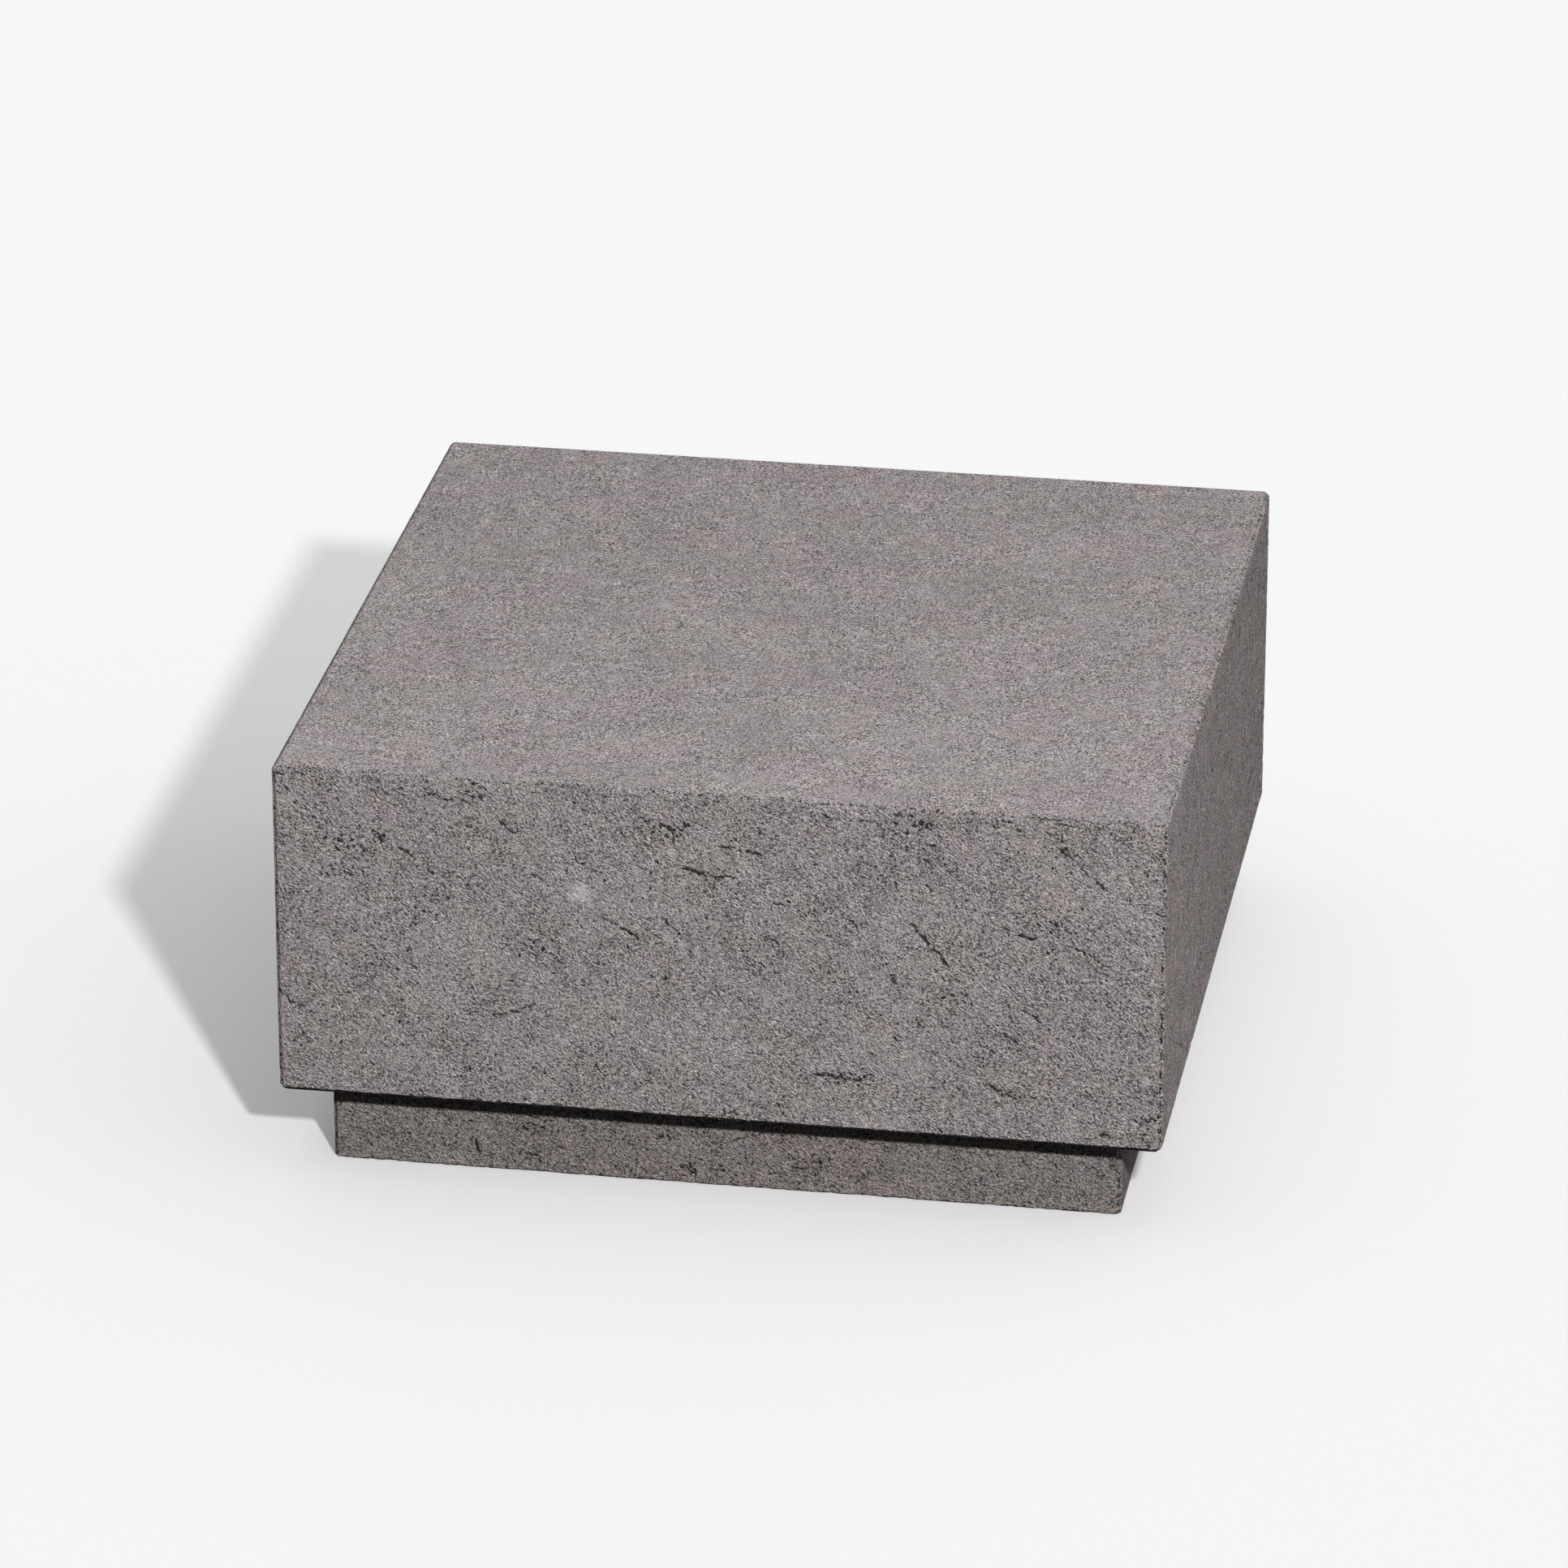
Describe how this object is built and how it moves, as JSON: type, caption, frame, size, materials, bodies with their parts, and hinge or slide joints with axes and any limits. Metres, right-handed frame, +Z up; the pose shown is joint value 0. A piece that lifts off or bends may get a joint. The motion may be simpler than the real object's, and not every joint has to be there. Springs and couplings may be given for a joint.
{
  "type": "granite block table",
  "caption": "Low square block table clad in granite, on a recessed granite plinth, with a plywood core and levelling feet hidden inside the plinth.",
  "frame": {"origin": "centre of the plinth's underside, on the floor", "axes": "+Z up, +X to the table's right, -Y to its front; the table is the same on all four sides"},
  "size_m": [0.8, 0.8, 0.403],
  "materials": {
    "granite": "weathered, fine grain",
    "birch_plywood": "raw plywood",
    "beech": "planed, unfinished",
    "zinc_plated_steel": "bright zinc plate",
    "black_nylon": "moulded, satin",
    "grey_rubber": "matt"
  },
  "bodies": {
    "table": {"top_slab": "granite", "front_slab": "granite", "right_slab": "granite", "back_slab": "granite", "left_slab": "granite", "front_soffit": "granite", "right_soffit": "granite", "back_soffit": "granite", "left_soffit": "granite", "front_plinth_slab": "granite", "right_plinth_slab": "granite", "back_plinth_slab": "granite", "left_plinth_slab": "granite", "core_deck_board": "birch_plywood", "core_base_board": "birch_plywood", "core_front_wall": "birch_plywood", "core_right_wall": "birch_plywood", "core_back_wall": "birch_plywood", "core_left_wall": "birch_plywood", "core_rib_x": "birch_plywood", "core_rib_y": "birch_plywood", "front_plinth_rail": "birch_plywood", "right_plinth_rail": "birch_plywood", "back_plinth_rail": "birch_plywood", "left_plinth_rail": "birch_plywood", "front_left_corner_block": "beech", "front_left_insert": "zinc_plated_steel", "front_left_screw_1": "zinc_plated_steel", "front_left_screw_2": "zinc_plated_steel", "front_right_corner_block": "beech", "front_right_insert": "zinc_plated_steel", "front_right_screw_1": "zinc_plated_steel", "front_right_screw_2": "zinc_plated_steel", "back_right_corner_block": "beech", "back_right_insert": "zinc_plated_steel", "back_right_screw_1": "zinc_plated_steel", "back_right_screw_2": "zinc_plated_steel", "back_left_corner_block": "beech", "back_left_insert": "zinc_plated_steel", "back_left_screw_1": "zinc_plated_steel", "back_left_screw_2": "zinc_plated_steel"},
    "front_left_pad": {"front_left_foot_pad": "black_nylon", "front_left_foot_sole": "grey_rubber"},
    "front_left_stem": {"front_left_foot_stem": "zinc_plated_steel"},
    "front_right_pad": {"front_right_foot_pad": "black_nylon", "front_right_foot_sole": "grey_rubber"},
    "front_right_stem": {"front_right_foot_stem": "zinc_plated_steel"},
    "back_right_pad": {"back_right_foot_pad": "black_nylon", "back_right_foot_sole": "grey_rubber"},
    "back_right_stem": {"back_right_foot_stem": "zinc_plated_steel"},
    "back_left_pad": {"back_left_foot_pad": "black_nylon", "back_left_foot_sole": "grey_rubber"},
    "back_left_stem": {"back_left_foot_stem": "zinc_plated_steel"}
  },
  "joints": [
    {"name": "front_left_foot_height", "type": "slide", "parent": "table", "child": "front_left_pad", "axis": [0, 0, -1], "range_m": [0, 0.012]},
    {"name": "front_left_foot_turn", "type": "hinge", "parent": "front_left_pad", "child": "front_left_stem", "pos_m": [-0.2772, -0.2772, 0.009], "axis": [0, 0, -1], "range_deg": [0, 2880]},
    {"name": "front_right_foot_height", "type": "slide", "parent": "table", "child": "front_right_pad", "axis": [0, 0, -1], "range_m": [0, 0.012]},
    {"name": "front_right_foot_turn", "type": "hinge", "parent": "front_right_pad", "child": "front_right_stem", "pos_m": [0.2772, -0.2772, 0.009], "axis": [0, 0, -1], "range_deg": [0, 2880]},
    {"name": "back_right_foot_height", "type": "slide", "parent": "table", "child": "back_right_pad", "axis": [0, 0, -1], "range_m": [0, 0.012]},
    {"name": "back_right_foot_turn", "type": "hinge", "parent": "back_right_pad", "child": "back_right_stem", "pos_m": [0.2772, 0.2772, 0.009], "axis": [0, 0, -1], "range_deg": [0, 2880]},
    {"name": "back_left_foot_height", "type": "slide", "parent": "table", "child": "back_left_pad", "axis": [0, 0, -1], "range_m": [0, 0.012]},
    {"name": "back_left_foot_turn", "type": "hinge", "parent": "back_left_pad", "child": "back_left_stem", "pos_m": [-0.2772, 0.2772, 0.009], "axis": [0, 0, -1], "range_deg": [0, 2880]}
  ],
  "couplings": [
    {"joint": "front_left_foot_turn", "follows": "front_left_foot_height", "rad_per_m": 4188.8},
    {"joint": "front_right_foot_turn", "follows": "front_right_foot_height", "rad_per_m": 4188.8},
    {"joint": "back_right_foot_turn", "follows": "back_right_foot_height", "rad_per_m": 4188.8},
    {"joint": "back_left_foot_turn", "follows": "back_left_foot_height", "rad_per_m": 4188.8}
  ]
}
